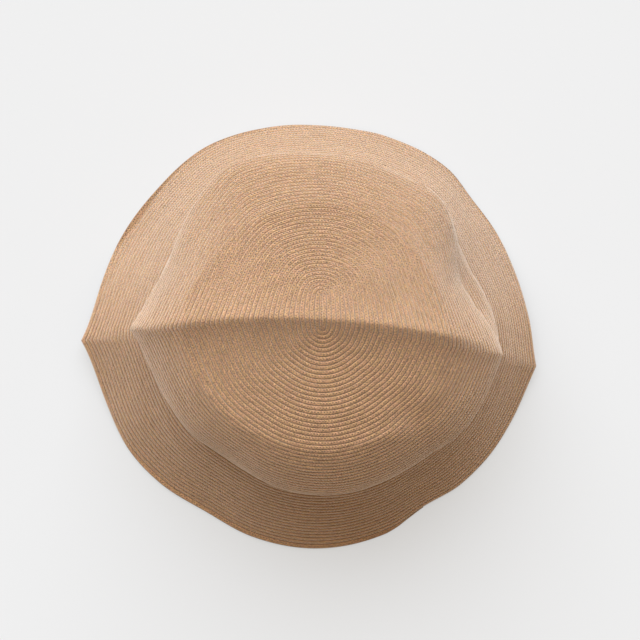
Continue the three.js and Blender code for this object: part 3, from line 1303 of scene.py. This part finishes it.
@dataclass
class Sweatband:
    """The grosgrain band round the head opening, its join, its seam, and the blank maker's label."""

    surface: HatSurface
    length: float = 571.77
    low: float = 47
    high: float = 73
    faces: tuple[float, float] = (2.9, 3.6)
    over: tuple[float, float] = (3.65, 4.35)
    tape: tuple[float, float] = (3.75, 4.1)
    join: tuple[float, float] = (62, 14)
    maker_label: tuple[float, float] = (90, 46)
    join_heights: tuple[float, float] = (50.5, 72.5)
    label_heights: tuple[float, float] = (52.5, 69.5)
    seam_height: float = 49.25
    stitch_pitch: float = 3.0
    stitch_length: float = 2.1
    stitch_thickness: float = 0.45
    edge_inset: float = 1.2
    seam_end_gap: float = 1.0
    label_pitch: float = 2.0

    def build(
        self, ribbon: bpy.types.Material, thread: bpy.types.Material, tape: bpy.types.Material
    ) -> None:
        """Makes the band and everything sewn on it.

        Args:
            ribbon: The band's material.
            thread: The stitches' material.
            tape: The label's material.
        """
        cloth = WallCloth(self.surface)
        band = cloth.strip(
            "sweatband_ribbon", FULL_TURN / 2, self.length, self.low, self.high, self.faces
        )
        cover = cloth.strip("sweatband_join_cover", *self.join, *self.join_heights, self.over)
        smooth = WallCloth(self.surface, weave_pitch=self.label_pitch, raised=0.0)
        label = smooth.strip("maker_label_tape", *self.maker_label, *self.label_heights, self.tape)
        stitches = self.sew()
        finishes = (
            (band, "sweatband", ribbon, Slot.SWEATBAND),
            (cover, "sweatband_join", ribbon, Slot.SWEATBAND),
            (stitches, "sweatband_thread", thread, Slot.THREAD),
            (label, "maker_label", tape, Slot.LABEL),
        )
        for piece, node, material, slot in finishes:
            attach(piece, Body.HAT.value)
            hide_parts(node)
            dress(piece, material)

    def sew(self) -> bpy.types.Object:
        """The seam along the band's foot, and the short seams down the ends of the join and the label.

        Returns:
            The stitches, as one piece.
        """
        shaped = bmesh.new()
        count = round(self.length / self.stitch_pitch)
        step = FULL_TURN / count
        for i in range(count):
            self.stitch(shaped, i * step, self.seam_height, max(self.faces), upright=False)
        seams = (
            (self.join, self.join_heights, self.over),
            (self.maker_label, self.label_heights, self.tape),
        )
        for (at, width), (low, high), depths in seams:
            reach = math.degrees((width / 2 - self.edge_inset) / self.surface.opening_radius)
            first, last = low + self.stitch_pitch / 2, high - self.seam_end_gap
            for height in np.arange(first, last, self.stitch_pitch):
                for side in (-reach, reach):
                    self.stitch(shaped, at + side, height, max(depths), upright=True)
        for face in shaped.faces:
            face.smooth = True
        return placed("sweatband_stitches", shaped)

    def stitch(
        self, shaped: bmesh.types.BMesh, angle: float, height: float, depth: float, upright: bool
    ) -> None:
        """Adds one stitch.

        Args:
            shaped: The mesh to add to.
            angle: Where round the wall.
            height: Where up the wall.
            depth: The depth of the cloth it lies on.
            upright: Whether it runs up the wall, not along it.
        """
        small = 0.5
        turns = np.array([angle, angle if upright else angle + small])
        heights = np.array([height, height + small if upright else height])
        here, there = self.surface.framed(self.surface.wall(turns, heights, np.full(2, depth)))
        along = Vector(there - here).normalized()
        thick, length = self.stitch_thickness, self.stitch_length
        half = Vector((thick, thick, length)) * (MM / 2)
        matrix = Matrix.LocRotScale(Vector(here), along.to_track_quat("Z", "Y"), half)
        bmesh.ops.create_uvsphere(shaped, u_segments=6, v_segments=4, radius=1.0, matrix=matrix)


@dataclass
class CareLabel:
    """A small blank care label: a tape folded in half, held in the seam by its lower edge."""

    surface: HatSurface
    node: str = "care_label"
    angle: float = 156
    width: float = 16
    height: float = 22
    radius: float = 87.62
    low: float = 50.5
    thickness: float = 0.5
    tape_thickness: float = 0.16
    rounded_steps: int = 6
    width_steps: int = 8
    fold_share: float = 0.02

    def build(self, tape: bpy.types.Material) -> None:
        """Makes the label.

        Args:
            tape: Its material.
        """
        section = self.section()
        mesh, column, step = gridded(self.width_steps, len(section) - 1)
        out, up, share = section[step].T
        aside = (column / self.width_steps - 0.5) * self.width
        turn = math.radians(self.angle)
        outward = np.array([math.cos(turn), math.sin(turn), 0])
        sideways = np.array([-math.sin(turn), math.cos(turn), 0])
        points = (self.radius + out)[:, None] * outward + aside[:, None] * sideways
        points[:, 2] = self.low + up
        set_points(mesh, self.surface.framed(points))
        paint_uv(mesh, share, column / self.width_steps)
        piece = welded("care_label_tape", [mesh])
        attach(piece, Body.CARE_LABEL.value)
        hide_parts(self.node)
        dress(piece, tape)

    def section(self) -> np.ndarray:
        """The folded tape from its edge: up, over the fold and down, then back along its inside.

        Returns:
            How far out and up each point is, and its share of the tape's length.
        """
        outer = self.folded(self.thickness / 2, 0.0, 1.0)
        inner = self.folded(self.thickness / 2 - self.tape_thickness, 1.0, 0.0)
        return np.array([*outer, *inner, outer[0]])

    def folded(self, radius: float, start: float, stop: float) -> list[tuple[float, float, float]]:
        """One face of the folded tape.

        Args:
            radius: The fold's radius at this face.
            start: Share of the length it starts at, 0 or 1.
            stop: Share it stops at.

        Returns:
            The face's points.
        """
        straight = self.height - self.thickness / 2
        side = 1 if start < stop else -1
        points = [(radius * side, 0.0, start)]
        for i in range(self.rounded_steps + 1):
            sweep = side * math.pi * (i / self.rounded_steps - 0.5)
            up = straight + radius * math.cos(sweep)
            points.append((-radius * math.sin(sweep), up, 0.5 + self.fold_share * math.sin(sweep)))
        return [*points, (-radius * side, 0.0, stop)]


# ------------------------------------------------------------------------------------ studio


@dataclass(frozen=True)
class Studio:
    """A pale floor that glows a little, a broad soft light from behind the hat, and the camera above."""

    camera_height: float = 1.6
    camera_shift: tuple[float, float] = (6.3, 9.0)
    lens: float = 152.55
    sensor: float = 36.0
    floor_half: float = 4.0
    floor_shade: float = 0.3
    floor_glow: float = 0.486
    floor_glow_tint: Colour = (0.99, 1.0, 1.0, 1)
    floor_grain: float = 900.0
    floor_grain_light: float = 1.01
    floor_roughness: float = 0.9
    floor_specular: float = 0.1
    floor_relief: float = 0.01 * MM
    light_power: float = 5.0
    light_tint: tuple[float, float, float] = (0.93, 1.0, 1.1)
    light_elevation: float = 36.0
    light_azimuth: float = 100.0
    light_softness: float = 75.0
    light_distance: float = 2.0
    ambient: float = 0.41
    ambient_tint: Colour = (1.0, 0.80, 0.58, 1)

    def build(self) -> None:
        """Makes the floor, the lights and the camera."""
        self.lay_floor()
        self.hang_lights()
        self.set_camera()

    def lay_floor(self) -> None:
        """The floor that the brim stands on."""
        shaped = bmesh.new()
        bmesh.ops.create_grid(shaped, x_segments=2, y_segments=2, size=self.floor_half)
        floor = placed("floor", shaped)
        kit = ShaderKit("pale_floor")
        grain = kit.noise(self.floor_grain, 2.0)
        shades = (self.floor_shade, self.floor_shade * self.floor_grain_light)
        colour = kit.blended(grain, *((shade, shade, shade, 1) for shade in shades))
        constants = {
            "Specular IOR Level": self.floor_specular,
            "Emission Color": self.floor_glow_tint,
            "Emission Strength": self.floor_glow,
        }
        paint = kit.finished(colour, self.floor_roughness, grain, self.floor_relief, constants)
        floor.data.materials.append(paint)

    def hang_lights(self) -> None:
        """One broad soft light, and the room's own light."""
        light = bpy.data.lights.new("window_light", "SUN")
        light.energy = self.light_power
        light.color = self.light_tint
        light.angle = math.radians(self.light_softness)
        lamp = bpy.data.objects.new("window_light", light)
        turn, rise = math.radians(self.light_azimuth), math.radians(self.light_elevation)
        level = math.cos(rise)
        towards = Vector((math.cos(turn) * level, math.sin(turn) * level, math.sin(rise)))
        lamp.rotation_euler = towards.to_track_quat("Z", "Y").to_euler()
        lamp.location = towards * self.light_distance
        bpy.context.scene.collection.objects.link(lamp)
        world = bpy.data.worlds.new("room")
        world.use_nodes = True
        background = world.node_tree.nodes["Background"]
        background.inputs["Color"].default_value = self.ambient_tint
        background.inputs["Strength"].default_value = self.ambient
        bpy.context.scene.world = world
        bpy.context.scene.view_settings.view_transform = "Standard"

    def set_camera(self) -> None:
        """The camera, looking straight down."""
        lens = bpy.data.cameras.new("camera")
        lens.lens, lens.sensor_width = self.lens, self.sensor
        camera = bpy.data.objects.new("camera", lens)
        x, y = (v * MM for v in self.camera_shift)
        camera.location = (x, y, self.camera_height)
        bpy.context.scene.collection.objects.link(camera)
        bpy.context.scene.camera = camera


SPIRAL_THREAD = ThreadFinish("spiral_thread", (0.46, 0.29, 0.16, 1), (0.2, 0.11, 0.05, 1))
BAND_THREAD = ThreadFinish("sweatband_thread", (0.52, 0.36, 0.22, 1), (0.26, 0.16, 0.08, 1))


def main() -> None:
    """Builds the hat and its setting."""
    logging.basicConfig(level=logging.INFO, format="%(name)s %(message)s")
    Studio().build()
    surface = HatSurface()
    spiral = BraidSpiral(surface)
    braid = BraidFinish().material()
    ribbon = RibbonFinish().material()
    tape = TapeFinish().material()
    spiral_thread, band_thread = SPIRAL_THREAD.material(), BAND_THREAD.material()
    Crown(spiral).build(braid, spiral_thread)
    Brim(spiral).build(braid, spiral_thread)
    Sweatband(surface).build(ribbon, band_thread, tape)
    CareLabel(surface).build(tape)


if __name__ == "__main__":
    main()
